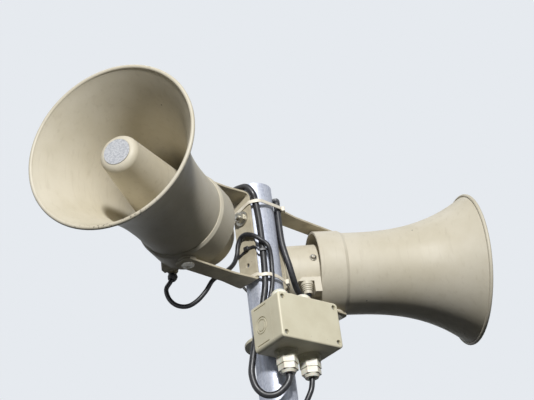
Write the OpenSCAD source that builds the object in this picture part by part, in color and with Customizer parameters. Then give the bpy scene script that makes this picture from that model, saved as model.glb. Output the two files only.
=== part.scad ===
// Pole-top pair of re-entrant horns with a junction box
// Origin: centre of the mast's flat lower end, +Z up the mast
// Directions are degrees seen from above, counted from +X towards +Y

/* [Mast] */
// Outside diameter of the mast pipe
mast_d = 48.3; // [42:0.1:56]
// Wall of the mast pipe
mast_wall = 2.9; // [2:0.1:5]
// Length of the mast section
mast_len = 750; // [560:10:1100]

/* [Horn] */
// Outside diameter of the mouth
mouth_d = 213; // [180:1:260]
// Distance from the pivot axis to the mouth
mouth_reach = 198; // [165:1:240]
// Outside diameter of the bell's straight neck
neck_d = 114; // [98:0.5:124]
// Length of the neck in front of the pivot axis
neck_len = 16; // [8:1:40]
// Power of the curve by which the bell opens
flare_power = 2.8; // [2:0.1:4]
// Wall of the bell
bell_wall = 2; // [1.2:0.1:4]
// Diameter of the rolled bead round the mouth
bead_d = 5; // [3:0.5:8]

/* [Rear ring] */
// Wall of the ring round the neck
ring_wall = 3; // [2:0.1:5]
// Length of the ring in front of the pivot axis
ring_front = 15.5; // [12:0.5:30]
// Length of the ring behind the pivot axis
ring_rear = 24; // [14:0.5:40]
// Thickness of the web that closes the ring
web_t = 4; // [3:0.5:8]

/* [Reflector] */
// Distance from the pivot axis to the reflector's front face
cap_reach = 182; // [140:1:190]
// Diameter of the reflector just behind its rounded cap
cap_d = 49; // [40:0.5:60]
// Radius of the cap's rounded edge
cap_round = 9; // [4:0.5:14]
// Diameter of the reflector at its open rear end
cone_rear_d = 78; // [66:0.5:88]
// Distance from the pivot axis to the reflector's open rear end
cone_rear = 46; // [36:1:70]
// Wall of the reflector
cone_wall = 2; // [1.5:0.1:4]
// Diameter of the thin plate on the cap
plate_d = 33; // [20:0.5:36]
// Thickness of the thin plate on the cap
plate_t = 0.8; // [0.5:0.1:2]
// Outside diameter of the sound tube
tube_d = 32; // [26:0.5:38]
// Wall of the sound tube
tube_wall = 2.5; // [1.5:0.1:4]

/* [Driver] */
// Diameter of the driver housing where it meets the web
driver_d = 85; // [72:0.5:96]
// Diameter of the driver housing at its rear
driver_rear_d = 81; // [66:0.5:90]
// Length of the driver housing
driver_len = 66; // [50:1:74]
// Width of the terminal box across the horn's side
terminal_t = 12; // [8:0.5:16]
// Length of the terminal box along the horn
terminal_len = 31; // [24:0.5:34]
// Height of the terminal box
terminal_h = 22; // [16:0.5:26]
// Diameter of the horn's cable gland
lead_gland_d = 17; // [14:0.5:20]
// Length of the horn's cable gland
lead_gland_len = 17; // [14:0.5:20]

/* [Bracket] */
// Distance from the mast's axis to the pivot axis
pivot_reach = 132; // [118:1:160]
// Thickness of the bracket's steel strip
strip_t = 3; // [2:0.5:5]
// Width of the strip at the base
base_w = 32; // [26:0.5:40]
// Width of the arms
arm_w = 25; // [20:0.5:30]
// Inside radius of the strip's bends
bend_r = 4; // [3:0.5:8]
// Height of a pivot boss over the ring
boss_h = 2.2; // [1:0.1:5]
// Direction of the right bracket
bracket_dir = 46.5; // [30:0.5:60]
// Diameter of the bolts that hold the brackets and the horns
bolt_d = 8; // [6:1:10]
// Height of the bracket bolt below the mast's top
bolt_drop = 51; // [46:1:60]
// Diameter of the spare screw hole in each base
spare_hole_d = 6; // [4:0.5:8]

/* [Aim] */
// Height of the left horn's axis below the mast's top
left_drop = 83; // [78:0.5:96]
// Height of the right horn's axis below the mast's top
right_drop = 90; // [78:0.5:96]
// Direction in which the left horn points
left_aim = 251; // [226:1:262]
// Direction in which the right horn points
right_aim = 11; // [0:1:46]

/* [Junction box] */
// Width of the box
box_w = 95; // [84:1:110]
// Height of the box
box_h = 62; // [54:1:70]
// Depth of the box with its lid
box_depth = 56; // [50:1:66]
// Depth of the lid
lid_depth = 18; // [12:1:22]
// Radius of the box's corners
box_round = 5; // [3:0.5:8]
// Height of the box's centre
box_z = 522; // [500:1:530]
// Direction in which the lid faces
box_dir = 309.5; // [300:0.5:320]
// Size across the flats of the gland nuts
gland_af = 24; // [20:0.5:27]
// Diameter of the collar under the box's back
collar_d = 70; // [62:1:80]
// Thickness of the collar
collar_t = 4; // [3:0.5:6]

/* [Leads and ties] */
// Diameter of the left horn's lead
left_lead_d = 6; // [4:0.5:7]
// Diameter of the right horn's lead
right_lead_d = 8.5; // [5:0.5:9]
// Diameter of the supply lead
supply_d = 7; // [5:0.5:8]
// Width of the tie straps
tie_w = 4.8; // [3.5:0.1:7]
// Thickness of the tie straps
tie_t = 1.4; // [1:0.1:2]

/* [Hidden] */
// Gap between faces that turn against each other
turn_gap = 0.3;
// Gap between faces that rest against each other
seat_gap = 0.15;
$fn = 96;

mast_r = mast_d / 2;
ring_r = neck_d / 2 + seat_gap + ring_wall;
arm_in = ring_r + boss_h + turn_gap;
arm_out = arm_in + strip_t;
base_in = mast_r + seat_gap;
base_out = base_in + strip_t;
left_z = mast_len - left_drop;
right_z = mast_len - right_drop;
bolt_z = mast_len - bolt_drop;
bolt_r = bolt_d / 2;
nut_h = bolt_d * 0.8;
nut_af = bolt_d * 1.63;
washer_d = bolt_d * 2.6;
washer_t = 2;
driver_rear_x = -web_t - driver_len;
box_back = mast_r + 0.4;
gland_out = 19;
gland_lats = [-14.8, 21.2];
plug_out = 19;
plug_lats = [-14, 23];
boss_len = 9;
strap_in = mast_r + right_lead_d + 0.85;

// Route of the left horn's lead, from its gland up the bracket and down behind the junction box
left_route = [
    [-114.7, -42.1, 627], [-114.7, -42.1, 616], [-119, -43, 607], [-125, -43, 597], [-122, -43, 583], [-113, -43, 573],
    [-100, -43, 570], [-87, -43, 576], [-75, -43, 588], [-66, -43, 601], [-58, -37, 610], [-47, -27, 621],
    [-37, -19, 634], [-31.5, -15.5, 648], [-28.5, -17.5, 662], [-24, -21, 670], [-18, -27, 671], [-11, -33, 667],
    [-3.5, -36.5, 661], [4, -36.5, 654], [10.5, -36.5, 646], [12.5, -32, 634], [12, -29, 618], [11, -28.5, 602],
    [8, -29, 586], [3.5, -28.5, 570], [0, -27.7, 554], [-0.5, -27.6, 528]
];
// Route of the right horn's lead: up the mast, round its back, down its front and into the junction box
right_route = [
    [56.3, 48.3, 619], [56.3, 48.3, 609], [54, 44.5, 603.5], [47, 34, 602.5], [41.5, 21, 606], [38, 10, 618],
    [35, 3.5, 634], [31.5, 1, 652], [29, 0, 674], [29, 0, 719], [29.5, 1, 729], [28, 13.5, 739], [14.5, 27.5, 744],
    [-6, 31, 747], [-23.5, 21, 748], [-31.3, 2, 747], [-27.5, -16, 745], [-17, -27, 743], [-7.5, -31.5, 740],
    [-0.8, -31.8, 729], [1.2, -28.9, 718], [3, -28.8, 690], [3.3, -28.7, 650], [2, -28.8, 610], [0, -28.8, 590],
    [-5, -28.4, 568], [-9.5, -28.5, 545], [-17, -36.5, 523], [-22, -41.5, 504], [-26, -43, 486], [-29, -43, 468],
    [-25.5, -43, 450], [-16, -43, 439], [-3, -43, 437.5], [8, -43, 444], [15, -43, 453], [16.3, -43, 461],
    [16.3, -43, 471]
];
// Route of the supply lead, from the second gland down the mast to its foot
supply_route = [
    [44, -20, 471], [44, -20, 461], [41.5, -20.5, 448], [36, -20, 437], [30, -18.5, 427], [26, -15.5, 414],
    [24.3, -13.9, 396], [24.3, -13.9, 300], [24.3, -13.9, 150], [24.3, -13.9, 2]
];

HORN_NODES = ["bell", "rear_ring", "sound_tube", "reflector", "cap_plate", "driver_housing", "terminal_box",
    "lead_gland", "pivot_bolts"];

// Placing

module along_x() {
    rotate([0, 90, 0]) children();
}

module at_horn(side) {
    dir = side == "left" ? bracket_dir + 180 : bracket_dir;
    translate([pivot_reach * cos(dir), pivot_reach * sin(dir), side == "left" ? left_z : right_z])
        rotate([0, 0, side == "left" ? left_aim : right_aim]) children();
}

module at_bracket(side) {
    translate([0, 0, side == "left" ? left_z : right_z])
        rotate([0, 0, side == "left" ? bracket_dir + 180 : bracket_dir]) children();
}

// The box's frame: origin on the box's back, +X towards the lid
module at_box() {
    translate([0, 0, box_z]) rotate([0, 0, box_dir]) translate([box_back, 0, 0]) children();
}

module hex(af, h) {
    cylinder(d = af / cos(30), h = h, $fn = 6);
}

// Mast

module mast_pipe() {
    color("gainsboro") difference() {
        cylinder(r = mast_r, h = mast_len);
        translate([0, 0, -1]) cylinder(r = mast_r - mast_wall, h = mast_len + 2);
        translate([0, 0, bolt_z]) rotate([0, 0, bracket_dir]) along_x()
            translate([0, 0, -mast_r - 1]) cylinder(r = bolt_r + turn_gap, h = mast_d + 2);
    }
}

// Horn, in a frame with its origin on the pivot and +X towards the mouth

// Outer radius of the bell at x
function bell_r(x) = let (span = (x - neck_len) / (mouth_reach - neck_len))
    neck_d / 2 + (x <= neck_len ? 0 : (mouth_d / 2 - bead_d / 2 - neck_d / 2) * pow(span, flare_power));
function bell_slope(x) = (bell_r(x + 0.5) - bell_r(x - 0.5));
// Point of the inner wall, a wall's thickness in from the outer one
function bell_in(x) = let (n = norm([1, bell_slope(x)]))
    [bell_r(x) - bell_wall / n, x + bell_wall * bell_slope(x) / n];

module bell() {
    steps = 30;
    xs = [for (i = [0:steps]) neck_len + (mouth_reach - neck_len) * i / steps];
    outer = [for (x = xs) [bell_r(x), x]];
    inner = [for (i = [steps:-1:0]) bell_in(xs[i])];
    color("antiquewhite") along_x() {
        difference() {
            union() {
                rotate_extrude() polygon(concat([[neck_d / 2, 0]], outer, inner, [[neck_d / 2 - bell_wall, 0]]));
                translate([0, 0, mouth_reach]) rotate_extrude()
                    translate([(mouth_d - bead_d) / 2, 0]) circle(d = bead_d, $fn = 32);
                cylinder(d = neck_d - bell_wall, h = bell_wall * 1.5);
            }
            translate([0, 0, -1]) cylinder(d = tube_d + 2 * seat_gap, h = bell_wall * 1.5 + 2);
        }
    }
}

module rear_ring() {
    neck_r = neck_d / 2 + seat_gap;
    color("wheat") difference() {
        union() {
            along_x() translate([0, 0, -ring_rear]) cylinder(r = ring_r, h = ring_rear + ring_front);
            for (s = [0, 180]) rotate([s, 0, 0])
                translate([0, 0, neck_r]) cylinder(r = arm_w / 2 - 1, h = ring_wall + boss_h);
        }
        along_x() cylinder(r = neck_r, h = ring_front + 20);
        along_x() translate([0, 0, -ring_rear - 20]) cylinder(r = neck_r, h = ring_rear + 20 - web_t);
        along_x() translate([0, 0, -web_t - 1]) cylinder(d = tube_d - 2 * tube_wall, h = web_t + 2);
        for (s = [0, 180]) rotate([s, 0, 0])
            translate([0, 0, neck_r + 0.8]) cylinder(r = bolt_r + 0.05, h = ring_wall + boss_h);
    }
}

// Inside radius of the reflector at x
face_x = cap_reach - cap_round;
function cone_in(x) = cone_rear_d / 2 - cone_wall - (cone_rear_d - cap_d) / 2 * (x - cone_rear) / (face_x - cone_rear);

// Sound tube with three ribs that carry the reflector
module sound_tube() {
    rib_x0 = cone_rear + 12;
    rib_x1 = cone_rear + 44;
    rib_in = tube_d / 2 - tube_wall / 2;
    color("tan") along_x() {
        difference() {
            cylinder(d = tube_d, h = cap_reach - 30);
            translate([0, 0, -1]) cylinder(d = tube_d - 2 * tube_wall, h = cap_reach);
        }
        for (a = [90:120:330]) rotate([0, 0, a]) rotate([90, 0, 0]) translate([0, 0, -1]) linear_extrude(2)
            polygon([[rib_in, rib_x0], [cone_in(rib_x0) - seat_gap, rib_x0], [cone_in(rib_x1) - seat_gap, rib_x1],
                [rib_in, rib_x1]]);
    }
}

// Reflector cup: a long cone with a rounded cap, open to the rear
module reflector() {
    cr = cap_d / 2;
    rear_r = cone_rear_d / 2;
    arc = [for (a = [0:10:90]) [cr - cap_round + cap_round * cos(a), face_x + cap_round * sin(a)]];
    color("antiquewhite") along_x() rotate_extrude()
        polygon(concat([[rear_r, cone_rear]], arc, [[0, cap_reach], [0, cap_reach - cone_wall],
            [cr - cap_round, cap_reach - cone_wall], [cr - cone_wall, face_x], [rear_r - cone_wall, cone_rear]]));
}

module cap_plate() {
    color("lightgray") along_x() translate([0, 0, cap_reach]) cylinder(d = plate_d, h = plate_t);
}

module driver_housing() {
    edge = 4;
    rear_r = driver_rear_d / 2;
    arc = [for (a = [0:15:90]) [rear_r - edge + edge * cos(a), driver_len - edge + edge * sin(a)]];
    color("antiquewhite") rotate([0, -90, 0]) translate([0, 0, web_t])
        rotate_extrude() polygon(concat([[0, 0], [driver_d / 2, 0]], arc, [[0, driver_len]]));
}

// Terminal box on the driver's side: a chamfered roof that the gland hangs from, and a deeper front part
terminal_x = -24.5;
terminal_top = -27;
roof_t = 6;
gland_x = -43;
gland_y = -40;
gland_top = terminal_top - roof_t - seat_gap;
module terminal_box() {
    chamfer = 5.5;
    rear = terminal_x - terminal_len;
    step_x = gland_x + lead_gland_d / 2 + 0.6;
    outline = [[terminal_x, terminal_top], [rear + chamfer, terminal_top], [rear, terminal_top - chamfer],
        [rear, terminal_top - roof_t], [step_x, terminal_top - roof_t], [step_x, terminal_top - terminal_h],
        [terminal_x, terminal_top - terminal_h]];
    color("antiquewhite") difference() {
        translate([0, -driver_d / 2 + terminal_t, 0]) rotate([90, 0, 0])
            linear_extrude(terminal_t + 5) polygon(outline);
        rotate([0, -90, 0]) translate([0, 0, web_t])
            cylinder(r1 = driver_d / 2 + seat_gap, r2 = driver_rear_d / 2 + seat_gap + 0.02, h = driver_len);
    }
}

module lead_gland(cable_d) {
    color("wheat") translate([gland_x, gland_y, gland_top]) mirror([0, 0, 1]) difference() {
        union() {
            cylinder(d = lead_gland_d, h = 3);
            for (i = [0:3]) translate([0, 0, 3 + i * 2.6]) {
                cylinder(d = lead_gland_d - 2 - i, h = 2.6);
                cylinder(d = lead_gland_d - i, h = 1.3);
            }
            translate([0, 0, 13.4]) cylinder(d = cable_d + 3.4, h = lead_gland_len - 13.4);
        }
        translate([0, 0, 5]) cylinder(d = cable_d + 0.8, h = lead_gland_len);
    }
}

// Pivot bolts, one through each arm into the ring's boss
module pivot_bolts() {
    reach_in = neck_d / 2 + seat_gap + 1;
    head_z = arm_out + turn_gap;
    color("silver") for (s = [0, 180]) rotate([s, 0, 0]) {
        translate([0, 0, reach_in]) cylinder(r = bolt_r, h = head_z - reach_in + washer_t);
        translate([0, 0, head_z]) cylinder(d = washer_d, h = washer_t);
        translate([0, 0, head_z + washer_t]) hex(nut_af, nut_h);
    }
}

module horn(part, side) {
    at_horn(side) {
        if (part == "bell") bell();
        if (part == "rear_ring") rear_ring();
        if (part == "sound_tube") sound_tube();
        if (part == "reflector") reflector();
        if (part == "cap_plate") cap_plate();
        if (part == "driver_housing") driver_housing();
        if (part == "terminal_box") terminal_box();
        if (part == "lead_gland") lead_gland(side == "left" ? left_lead_d : right_lead_d);
        if (part == "pivot_bolts") pivot_bolts();
    }
}

// Bracket: one steel strip bent to a U, base on the mast and arms over and under the horn
module bracket(side) {
    axis_z = side == "left" ? left_z : right_z;
    end_r = arm_w / 2;
    reach = pivot_reach - base_in;
    color("antiquewhite") at_bracket(side) translate([base_in, 0, 0]) difference() {
        intersection() {
            difference() {
                u_block(0, arm_out, bend_r + strip_t, reach + end_r + 1);
                u_block(strip_t, arm_in, bend_r, reach + end_r + 10);
            }
            translate([0, 0, -arm_out - 1]) linear_extrude(2 * arm_out + 2) union() {
                polygon([[-1, -base_w / 2], [12, -base_w / 2], [40, -arm_w / 2], [reach, -arm_w / 2],
                    [reach, arm_w / 2], [40, arm_w / 2], [12, base_w / 2], [-1, base_w / 2]]);
                translate([reach, 0]) circle(r = end_r);
            }
        }
        translate([reach, 0, -arm_out - 1]) cylinder(r = bolt_r + turn_gap, h = 2 * arm_out + 2);
        translate([0, 0, bolt_z - axis_z]) along_x() translate([0, 0, -1])
            cylinder(r = bolt_r + turn_gap, h = strip_t + 2);
        translate([0, 0, -38]) along_x() translate([0, 0, -1]) cylinder(d = spare_hole_d, h = strip_t + 2);
    }
}

// Block from x to reach, with rounded rear corners, that the strip's outside and inside are cut from
module u_block(x, half_h, r, reach) {
    translate([x + r, -base_w / 2 - 1, -half_h]) cube([reach - r - x, base_w + 2, 2 * half_h]);
    translate([x, -base_w / 2 - 1, -half_h + r]) cube([r + 1, base_w + 2, 2 * (half_h - r)]);
    for (s = [-1, 1]) translate([x + r, -base_w / 2 - 1, s * (half_h - r)])
        rotate([-90, 0, 0]) cylinder(r = r, h = base_w + 2);
}

// Bolt through both bases and the mast, with a washer and nut at each end
module bracket_bolt() {
    face = base_out + seat_gap;
    color("silver") translate([0, 0, bolt_z]) rotate([0, 0, bracket_dir]) along_x() {
        translate([0, 0, -face - washer_t - nut_h - 4]) cylinder(r = bolt_r, h = 2 * face + 2 * washer_t + nut_h + 5);
        for (s = [0, 180]) rotate([s, 0, 0]) {
            translate([0, 0, face]) cylinder(d = washer_d, h = washer_t);
            translate([0, 0, face + washer_t]) hex(nut_af, nut_h);
        }
    }
}

// Junction box

module rounded_slab(depth, w, h, r) {
    along_x() linear_extrude(depth) union() {
        square([h - 2 * r, w], center = true);
        square([h, w - 2 * r], center = true);
        for (a = [-1, 1], b = [-1, 1]) translate([a * (h / 2 - r), b * (w / 2 - r)]) circle(r = r);
    }
}

module box_body() {
    color("antiquewhite") at_box() {
        rounded_slab(box_depth - lid_depth - seat_gap, box_w, box_h, box_round);
        for (lat = gland_lats) translate([gland_out, lat, -box_h / 2 - boss_len])
            cylinder(d = gland_af + 6, h = boss_len + 1);
    }
}

screw_inset = 7;
module box_lid() {
    color("antiquewhite") at_box() translate([box_depth - lid_depth, 0, 0]) difference() {
        rounded_slab(lid_depth, box_w, box_h, box_round);
        for (a = [-1, 1], b = [-1, 1])
            translate([lid_depth - 5, a * (box_w / 2 - screw_inset), b * (box_h / 2 - screw_inset)])
                along_x() cylinder(d = 5.6, h = 6);
    }
}

module box_lid_screws() {
    color("silver") at_box() translate([box_depth - 5 + seat_gap, 0, 0])
        for (a = [-1, 1], b = [-1, 1])
            translate([0, a * (box_w / 2 - screw_inset), b * (box_h / 2 - screw_inset)])
                along_x() cylinder(d = 5, h = 2.4);
}

// Gland with a hexagon, a domed nut and a hole for its lead
module box_gland(lat, cable_d) {
    color("ivory") at_box() translate([gland_out, lat, -box_h / 2 - boss_len - seat_gap]) mirror([0, 0, 1])
        difference() {
            union() {
                hex(gland_af, 8);
                translate([0, 0, 8]) hex(gland_af - 2, 8);
                translate([0, 0, 16]) cylinder(d1 = gland_af - 3, d2 = gland_af - 7, h = 4);
            }
            translate([0, 0, 6]) cylinder(d = cable_d + 0.8, h = 20);
        }
}

module box_gland_left() {
    box_gland(gland_lats[0], right_lead_d);
}

module box_gland_right() {
    box_gland(gland_lats[1], supply_d);
}

module box_top_plugs() {
    color("ivory") at_box() for (lat = plug_lats) translate([plug_out, lat, box_h / 2 + seat_gap]) {
        hex(gland_af, 8);
        translate([0, 0, 8]) cylinder(d = gland_af - 2, h = 10);
        translate([0, 0, 18]) cylinder(d1 = gland_af - 2, d2 = gland_af - 9, h = 4);
    }
}

// Collar round the mast, cut flat where the box's back rests on it
module box_collar() {
    color("antiquewhite") translate([0, 0, box_z - collar_t / 2]) difference() {
        cylinder(d = collar_d, h = collar_t);
        translate([0, 0, -1]) cylinder(r = mast_r + seat_gap, h = collar_t + 2);
        rotate([0, 0, box_dir]) translate([box_back - seat_gap, -collar_d, -1]) cube([collar_d, 2 * collar_d, collar_t + 2]);
    }
}

// Ties: a strap in a loop and a square head
module tie(r, z, dir, tilt, head_dir, w) {
    translate([0, 0, z]) rotate([0, 0, dir]) rotate([0, tilt, 0]) rotate([0, 0, -dir]) {
        rotate_extrude() translate([r, -w / 2]) square([tie_t, w]);
        rotate([0, 0, head_dir]) translate([r - 0.5, -3.5, -w * 0.7]) cube([5, 7, w * 1.4]);
    }
}

module upper_tie() {
    color("white") tie(strap_in, 715, 40, -3, 345, tie_w);
}

module lower_tie() {
    color("white") tie(strap_in, 599, 40, -4, 345, tie_w);
}

// Strap that hugs the mast, both bases and the right lead, under the left lead; points are [direction, radius]
module black_tie() {
    corner = base_out / cos(30.4) + 0.4;
    lead_out = strap_in + 0.15;
    path = [[3, lead_out + 4.4], [9, lead_out + 3.4], [16, corner], [77, corner], [118, mast_r + 0.3], [130, mast_r + 0.3],
        [143, mast_r + 0.3], [155, mast_r + 0.3], [196, corner], [257, corner], [269, lead_out - 0.9], [276, lead_out],
        [283, lead_out - 0.9], [350, lead_out + 1], [356, lead_out + 3.6]];
    color("dimgray") translate([0, 0, 644]) linear_extrude(3.6) difference() {
        polygon([for (p = path) (p[1] + tie_t) * [cos(p[0]), sin(p[0])]]);
        polygon([for (p = path) p[1] * [cos(p[0]), sin(p[0])]]);
    }
}

// Leads: a round section carried along a smooth curve through the route's points

function unit(v) = v / norm(v);
function curve_point(p, i, t) = let (n = len(p) - 1, a = p[max(i - 1, 0)], b = p[i], c = p[min(i + 1, n)],
        d = p[min(i + 2, n)])
    0.5 * ((2 * b) + (c - a) * t + (2 * a - 5 * b + 4 * c - d) * t * t + (3 * b - a - 3 * c + d) * t * t * t);
function curve(p, parts) = concat(
    [for (i = [0:len(p) - 2], k = [0:parts - 1]) curve_point(p, i, k / parts)], [p[len(p) - 1]]);
function tangents(p) = [for (i = [0:len(p) - 1])
    unit(p[min(i + 1, len(p) - 1)] - p[max(i - 1, 0)])];
// Section normals that turn as little as they can from ring to ring
function normals(t, i = 0, last = [0, 1, 0.01]) = i == len(t) ? [] :
    let (n = unit(last - (last * t[i]) * t[i])) concat([n], normals(t, i + 1, n));

module lead(route, d, parts = 1, sides = 10) {
    p = curve(route, parts);
    t = tangents(p);
    n = normals(t);
    points = [for (i = [0:len(p) - 1], k = [0:sides - 1])
        let (a = 360 * k / sides) p[i] + d / 2 * (cos(a) * n[i] + sin(a) * cross(t[i], n[i]))];
    last = (len(p) - 1) * sides;
    faces = concat([[for (k = [sides - 1:-1:0]) k]], [[for (k = [0:sides - 1]) last + k]],
        [for (i = [0:len(p) - 2], k = [0:sides - 1])
            [i * sides + k, i * sides + (k + 1) % sides, (i + 1) * sides + (k + 1) % sides, (i + 1) * sides + k]]);
    color("black") polyhedron(points, [for (f = faces) [for (j = [len(f) - 1:-1:0]) f[j]]]);
}

mast_pipe();
bracket("left");  // left_bracket
bracket("right");  // right_bracket
bracket_bolt();
box_collar();
box_body();
box_lid();
box_lid_screws();
box_gland_left();
box_gland_right();
box_top_plugs();
upper_tie();
lower_tie();
black_tie();
lead(left_route, left_lead_d);  // left_lead
lead(right_route, right_lead_d);  // right_lead
lead(supply_route, supply_d);  // supply_lead
horn("bell", "left");  // left_bell
horn("rear_ring", "left");  // left_rear_ring
horn("sound_tube", "left");  // left_sound_tube
horn("reflector", "left");  // left_reflector
horn("cap_plate", "left");  // left_cap_plate
horn("driver_housing", "left");  // left_driver_housing
horn("terminal_box", "left");  // left_terminal_box
horn("lead_gland", "left");  // left_lead_gland
horn("pivot_bolts", "left");  // left_pivot_bolts
horn("bell", "right");  // right_bell
horn("rear_ring", "right");  // right_rear_ring
horn("sound_tube", "right");  // right_sound_tube
horn("reflector", "right");  // right_reflector
horn("cap_plate", "right");  // right_cap_plate
horn("driver_housing", "right");  // right_driver_housing
horn("terminal_box", "right");  // right_terminal_box
horn("lead_gland", "right");  // right_lead_gland
horn("pivot_bolts", "right");  // right_pivot_bolts
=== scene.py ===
import math

import bpy
from mathutils import Matrix, Vector


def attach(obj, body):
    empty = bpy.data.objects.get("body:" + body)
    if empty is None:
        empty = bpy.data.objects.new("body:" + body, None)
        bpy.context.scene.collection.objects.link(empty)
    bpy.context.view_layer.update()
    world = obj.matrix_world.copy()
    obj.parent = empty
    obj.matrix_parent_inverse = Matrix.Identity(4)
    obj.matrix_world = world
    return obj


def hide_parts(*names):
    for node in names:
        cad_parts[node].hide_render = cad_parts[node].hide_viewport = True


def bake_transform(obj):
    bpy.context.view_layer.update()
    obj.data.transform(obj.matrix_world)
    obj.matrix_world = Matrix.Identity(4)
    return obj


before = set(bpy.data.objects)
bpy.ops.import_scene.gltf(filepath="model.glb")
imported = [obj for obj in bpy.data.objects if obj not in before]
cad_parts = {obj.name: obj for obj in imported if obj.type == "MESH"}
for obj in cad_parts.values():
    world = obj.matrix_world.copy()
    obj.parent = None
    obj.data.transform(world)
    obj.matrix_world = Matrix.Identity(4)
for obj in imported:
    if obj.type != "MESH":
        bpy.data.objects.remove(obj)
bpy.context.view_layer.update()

print("frame loaded:", len(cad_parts), "nodes")

# Lengths are metres, angles are degrees


def colour(hexValue):
    parts = [int(hexValue[i:i + 2], 16) / 255 for i in (1, 3, 5)]
    return [c / 12.92 if c <= 0.04045 else ((c + 0.055) / 1.055) ** 2.4 for c in parts] + [1]


# A socket is given a constant, another node's socket, or a node, whose first output it then takes
def addNode(tree, kind, sockets=None, **settings):
    node = tree.nodes.new("ShaderNode" + kind)
    for name, value in settings.items():
        setattr(node, name, value)
    for key, value in (sockets or {}).items():
        if isinstance(value, bpy.types.Node):
            value = value.outputs[0]
        if isinstance(value, bpy.types.NodeSocket):
            tree.links.new(value, node.inputs[key])
        else:
            node.inputs[key].default_value = value
    return node


def newTree(name):
    material = bpy.data.materials.new(name)
    material.use_nodes = True
    material.node_tree.nodes.clear()
    return material, material.node_tree


# Ends nearer than this are at the same place
same = 0.00001


def deselectAll():
    if bpy.context.mode != "OBJECT":
        bpy.ops.object.mode_set(mode="OBJECT")
    bpy.ops.object.select_all(action="DESELECT")


def pick(piece):
    deselectAll()
    piece.select_set(True)
    bpy.context.view_layer.objects.active = piece


def applyAll(piece):
    pick(piece)
    for modifier in list(piece.modifiers):
        bpy.ops.object.modifier_apply(modifier=modifier.name)
    bpy.ops.object.transform_apply(location=True, rotation=True, scale=True)


plastic = {"lit": "#cfc8b6", "aged": "#c4bca7", "streak": "#aaa08a", "speck": "#3a3328",
           "grain": 0.0011, "roughness": 0.5}


def weatheredAbs(name, dirtyBelow=None, speckShare=0.58):
    # Moulded ABS, chalked by years of sun: satin, a little uneven in tone, with faint rain streaks and fly
    # specks; its moulded grain is drawn at 1.1 mm, coarser than real, so that it shows
    material, tree = newTree(name)
    place = addNode(tree, "TexCoord").outputs["Object"]
    broad = addNode(tree, "TexNoise", {"Vector": place, "Scale": 13.0, "Detail": 5.0, "Roughness": 0.6})
    tone = addNode(tree, "MapRange", {"Value": broad, "From Min": 0.38, "From Max": 0.66})
    base = addNode(tree, "Mix", {0: tone, 6: colour(plastic["lit"]), 7: colour(plastic["aged"])},
                   data_type="RGBA")
    # streaks are about 5 mm apart and run down for 8 cm
    tall = addNode(tree, "Mapping", {"Vector": place, "Scale": (1, 1, 0.06)})
    runs = addNode(tree, "TexNoise", {"Vector": tall, "Scale": 190.0, "Detail": 3.0})
    runMask = addNode(tree, "MapRange", {"Value": runs, "From Min": 0.56, "From Max": 0.78, "To Max": 0.34})
    streaked = addNode(tree, "Mix", {0: runMask, 6: base.outputs[2], 7: colour(plastic["streak"])},
                       data_type="RGBA")
    # specks of about 2 mm with soft rims, in cells of 26 mm, only where a second noise lets them be
    cells = addNode(tree, "TexVoronoi", {"Vector": place, "Scale": 38.0})
    dots = addNode(tree, "MapRange", {"Value": cells, "From Min": 0.026, "From Max": 0.045, "To Min": 0.9,
                                      "To Max": 0.0})
    patch = addNode(tree, "TexNoise", {"Vector": place, "Scale": 24.0, "Detail": 1.0})
    gate = addNode(tree, "MapRange", {"Value": patch, "From Min": speckShare, "From Max": speckShare + 0.02})
    specks = addNode(tree, "Math", {0: dots, 1: gate}, operation="MULTIPLY")
    if dirtyBelow:
        # grit that rain leaves in the lowest part of the mouth: grains of 1 mm, 3 mm apart
        height = addNode(tree, "SeparateXYZ", {"Vector": place})
        low = addNode(tree, "MapRange", {"Value": height.outputs["Z"], "From Min": dirtyBelow + 0.02,
                                         "From Max": dirtyBelow})
        grit = addNode(tree, "TexNoise", {"Vector": place, "Scale": 330.0, "Detail": 2.0})
        gritMask = addNode(tree, "MapRange", {"Value": grit, "From Min": 0.58, "From Max": 0.63,
                                              "To Max": 0.8})
        lowGrit = addNode(tree, "Math", {0: gritMask, 1: low}, operation="MULTIPLY")
        specks = addNode(tree, "Math", {0: specks, 1: lowGrit}, operation="MAXIMUM")
    spotted = addNode(tree, "Mix", {0: specks, 6: streaked.outputs[2], 7: colour(plastic["speck"])},
                      data_type="RGBA")
    grain = addNode(tree, "TexNoise", {"Vector": place, "Scale": 1 / plastic["grain"], "Detail": 2.0})
    bump = addNode(tree, "Bump", {"Height": grain, "Strength": 0.07, "Distance": 0.0004})
    gloss = addNode(tree, "MapRange", {"Value": broad, "From Min": 0.3, "From Max": 0.7,
                                       "To Min": plastic["roughness"] - 0.05,
                                       "To Max": plastic["roughness"] + 0.09})
    surface = addNode(tree, "BsdfPrincipled", {"Base Color": spotted.outputs[2], "IOR": 1.53,
                                               "Roughness": gloss, "Normal": bump})
    addNode(tree, "OutputMaterial", {"Surface": surface})
    return material


paint = {"coat": "#c3baa3", "worn": "#a99f88", "chip": "#6d5a45", "peel": 0.0022, "roughness": 0.46}


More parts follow.
